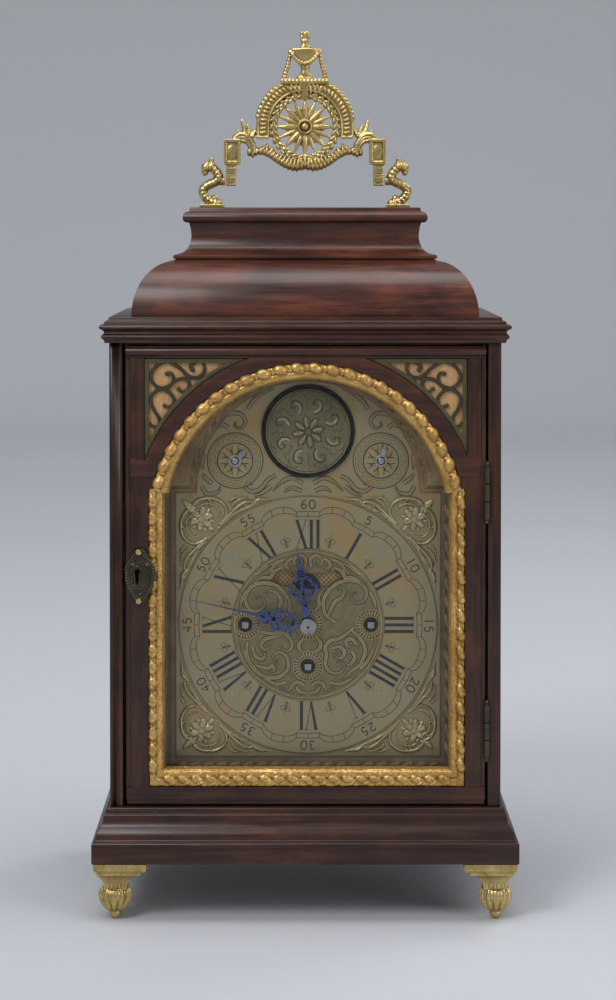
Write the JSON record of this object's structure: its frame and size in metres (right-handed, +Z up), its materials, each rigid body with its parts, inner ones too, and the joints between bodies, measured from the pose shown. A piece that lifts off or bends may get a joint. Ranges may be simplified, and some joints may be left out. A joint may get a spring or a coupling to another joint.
{
  "type": "bracket clock",
  "caption": "Spring-driven striking bracket clock in a glazed wooden case with a break-arch door, a bell top and a brass carrying handle.",
  "frame": {"origin": "middle of the clock's footprint, on the surface that its feet stand on", "axes": "+Z up; the dial faces -Y; +X to the right as seen facing the dial"},
  "size_m": [0.263, 0.18, 0.5559],
  "materials": {
    "dark_wood": "dark polished reddish brown wood",
    "gilt_wood": "worn gilding on carved wood",
    "dull_gilt": "dull gilding on a flat wooden mask",
    "brass": "aged brass",
    "dial_brass": "engraved brass, dulled",
    "pale_gilt": "cast brass, pale gilding",
    "bronze": "fretted brass, browned",
    "steel": "filed steel",
    "blued_steel": "blued steel",
    "bell_metal": "turned bell metal",
    "cloth": "faded tan cloth",
    "glass": "old clear glass"
  },
  "bodies": {
    "case": {"base_moulding": "dark_wood", "front_left_foot": "brass", "front_right_foot": "brass", "back_left_foot": "brass", "back_right_foot": "brass", "left_side_panel": "dark_wood", "right_side_panel": "dark_wood", "left_side_glass": "glass", "right_side_glass": "glass", "cornice": "dark_wood", "bell_top": "dark_wood", "seat_board": "dark_wood", "dial_mask": "dull_gilt", "left_handle_bracket": "brass", "right_handle_bracket": "brass", "upper_hinge_case_leaf": "brass", "lower_hinge_case_leaf": "brass", "dial_plate": "dial_brass", "chapter_ring": "dial_brass", "upper_left_spandrel": "pale_gilt", "upper_right_spandrel": "pale_gilt", "lower_left_spandrel": "pale_gilt", "lower_right_spandrel": "pale_gilt", "arch_boss": "pale_gilt", "front_plate": "brass", "back_plate": "brass", "hour_bell": "bell_metal", "quarter_bell": "bell_metal"},
    "front_door": {"door_frame": "dark_wood", "gilt_mask": "gilt_wood", "door_glass": "glass", "left_fret": "bronze", "right_fret": "bronze", "left_fret_lining": "cloth", "right_fret_lining": "cloth", "keyhole_escutcheon": "brass", "door_lock": "steel", "upper_hinge_door_leaf": "brass", "lower_hinge_door_leaf": "brass"},
    "lock_bolt": {"lock_bolt": "steel"},
    "back_door": {"back_door_frame": "dark_wood", "back_door_glass": "glass"},
    "handle": {"carrying_handle": "brass"},
    "minute": {"centre_arbor": "steel", "minute_hand": "blued_steel"},
    "hour": {"hour_wheel": "brass", "hour_hand": "blued_steel"},
    "motion_wheel": {"motion_wheel": "brass"},
    "going_barrel": {"going_barrel": "brass"},
    "hour_strike_barrel": {"hour_strike_barrel": "brass"},
    "quarter_strike_barrel": {"quarter_strike_barrel": "brass"},
    "going_winding_arbor": {"going_winding_arbor": "steel"},
    "hour_strike_winding_arbor": {"hour_strike_winding_arbor": "steel"},
    "quarter_strike_winding_arbor": {"quarter_strike_winding_arbor": "steel"},
    "pendulum": {"verge_arbor": "steel", "pendulum": "brass"},
    "left_subdial_hand": {"left_subdial_hand": "steel"},
    "right_subdial_hand": {"right_subdial_hand": "steel"},
    "hour_hammer": {"hour_hammer": "steel"},
    "quarter_hammer": {"quarter_hammer": "steel"}
  },
  "joints": [
    {"name": "front_door", "type": "hinge", "parent": "case", "child": "front_door", "pos_m": [0.11195, -0.0812, 0.247], "axis": [0, 0, 1], "range_deg": [0, 110]},
    {"name": "lock_bolt", "type": "slide", "parent": "front_door", "child": "lock_bolt", "axis": [-1, 0, 0], "range_m": [0, 0.003]},
    {"name": "back_door", "type": "hinge", "parent": "case", "child": "back_door", "pos_m": [-0.11195, 0.0802, 0.213], "axis": [0, 0, 1], "range_deg": [0, 100]},
    {"name": "handle", "type": "hinge", "parent": "case", "child": "handle", "pos_m": [0, 0, 0.4582], "axis": [1, 0, 0], "range_deg": [-90, 90]},
    {"name": "minute", "type": "hinge", "parent": "case", "child": "minute", "pos_m": [0.0018, 0, 0.17845], "axis": [0, 1, 0], "continuous": true},
    {"name": "hour", "type": "hinge", "parent": "case", "child": "hour", "pos_m": [0.0018, 0, 0.17845], "axis": [0, 1, 0], "continuous": true},
    {"name": "motion_wheel", "type": "hinge", "parent": "case", "child": "motion_wheel", "pos_m": [0.01594, 0, 0.19259], "axis": [0, 1, 0], "continuous": true},
    {"name": "going_barrel", "type": "hinge", "parent": "case", "child": "going_barrel", "pos_m": [0.0018, 0, 0.15205], "axis": [0, 1, 0], "continuous": true},
    {"name": "hour_strike_barrel", "type": "hinge", "parent": "case", "child": "hour_strike_barrel", "pos_m": [0.0413, 0, 0.17845], "axis": [0, 1, 0], "continuous": true},
    {"name": "quarter_strike_barrel", "type": "hinge", "parent": "case", "child": "quarter_strike_barrel", "pos_m": [-0.0377, 0, 0.17845], "axis": [0, 1, 0], "continuous": true},
    {"name": "going_winding", "type": "hinge", "parent": "case", "child": "going_winding_arbor", "pos_m": [0.0018, 0, 0.15205], "axis": [0, 1, 0], "continuous": true},
    {"name": "hour_strike_winding", "type": "hinge", "parent": "case", "child": "hour_strike_winding_arbor", "pos_m": [0.0413, 0, 0.17845], "axis": [0, 1, 0], "continuous": true},
    {"name": "quarter_strike_winding", "type": "hinge", "parent": "case", "child": "quarter_strike_winding_arbor", "pos_m": [-0.0377, 0, 0.17845], "axis": [0, 1, 0], "continuous": true},
    {"name": "pendulum", "type": "hinge", "parent": "case", "child": "pendulum", "pos_m": [0.0018, 0, 0.26095], "axis": [0, 1, 0], "range_deg": [-12, 12]},
    {"name": "left_subdial_hand", "type": "hinge", "parent": "case", "child": "left_subdial_hand", "pos_m": [-0.044, 0, 0.2819], "axis": [0, 1, 0], "range_deg": [-90, 0]},
    {"name": "right_subdial_hand", "type": "hinge", "parent": "case", "child": "right_subdial_hand", "pos_m": [0.0476, 0, 0.2819], "axis": [0, 1, 0], "range_deg": [-60, 30]},
    {"name": "hour_hammer", "type": "hinge", "parent": "case", "child": "hour_hammer", "pos_m": [0.0518, 0, 0.26195], "axis": [0, 1, 0], "range_deg": [0, 18]},
    {"name": "quarter_hammer", "type": "hinge", "parent": "case", "child": "quarter_hammer", "pos_m": [-0.0402, 0, 0.26195], "axis": [0, 1, 0], "range_deg": [-18, 0]}
  ],
  "couplings": [
    {"joint": "minute", "follows": "going_barrel", "ratio": -5},
    {"joint": "hour", "follows": "going_barrel", "ratio": -0.41667},
    {"joint": "motion_wheel", "follows": "going_barrel", "ratio": 1.6667}
  ]
}
